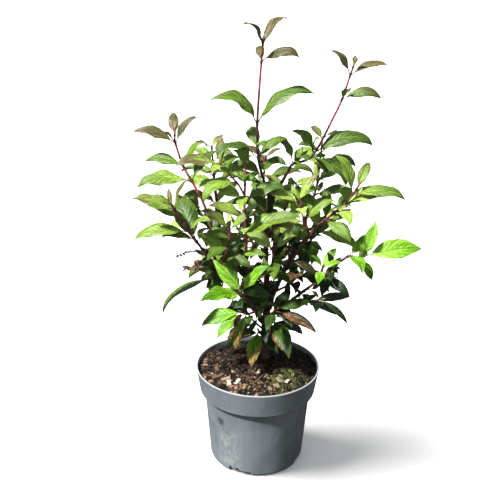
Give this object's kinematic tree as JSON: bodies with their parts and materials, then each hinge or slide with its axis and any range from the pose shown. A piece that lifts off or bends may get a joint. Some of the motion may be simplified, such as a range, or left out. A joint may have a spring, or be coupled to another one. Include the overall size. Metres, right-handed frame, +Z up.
{
  "type": "potted viburnum",
  "caption": "Young flowering shrub in a round nursery pot: thin branching stems with opposite pairs of arching, veined oval leaves, rising from bark compost.",
  "frame": {"origin": "centre of the pot's flat underside, on the ground it stands on", "axes": "+Z up along the pot's axis, -Y towards the viewer in the picture, +X to the viewer's right"},
  "size_m": [0.4119, 0.3029, 0.6676],
  "materials": {
    "pot": "matte, slightly scuffed blue-grey plastic",
    "compost": "rough bark chips",
    "bark": "smooth thin bark",
    "foliage": "satin leaves"
  },
  "bodies": {
    "root": {"back_left_limb": "bark", "back_left_shoot_1": "foliage", "back_left_shoot_2": "foliage", "back_left_shoot_3": "foliage", "back_left_shoot_4": "foliage", "back_limb": "bark", "back_right_limb": "bark", "back_right_shoot_1": "foliage", "back_right_shoot_2": "foliage", "back_right_shoot_3": "foliage", "back_right_shoot_4": "foliage", "back_shoot_1": "foliage", "back_shoot_2": "foliage", "back_shoot_3": "foliage", "back_shoot_4": "foliage", "big_leaf_shoot": "foliage", "centre_left_shoot": "foliage", "centre_right_shoot": "foliage", "centre_shoot": "foliage", "compost": "compost", "foot_right_shoot": "foliage", "foot_shoot": "foliage", "front_limb": "bark", "front_low_shoot": "foliage", "front_right_shoot": "foliage", "front_shoot": "foliage", "inner_left_shoot": "foliage", "leader": "bark", "leader_tip": "foliage", "left_limb": "bark", "left_side_bough": "bark", "left_side_shoot": "foliage", "left_upper_shoot": "foliage", "low_centre_shoot": "foliage", "low_inner_shoot": "foliage", "low_left_shoot": "foliage", "low_outer_shoot": "foliage", "low_right_shoot": "foliage", "lower_right_limb": "bark", "lower_right_shoot": "foliage", "lower_right_side_shoot": "foliage", "middle_left_limb": "bark", "middle_left_shoot": "foliage", "pot": "pot", "right_limb": "bark", "right_shoot": "foliage", "right_side_shoot": "foliage", "right_upper_bough": "bark", "right_upper_shoot": "foliage"}
  },
  "joints": []
}
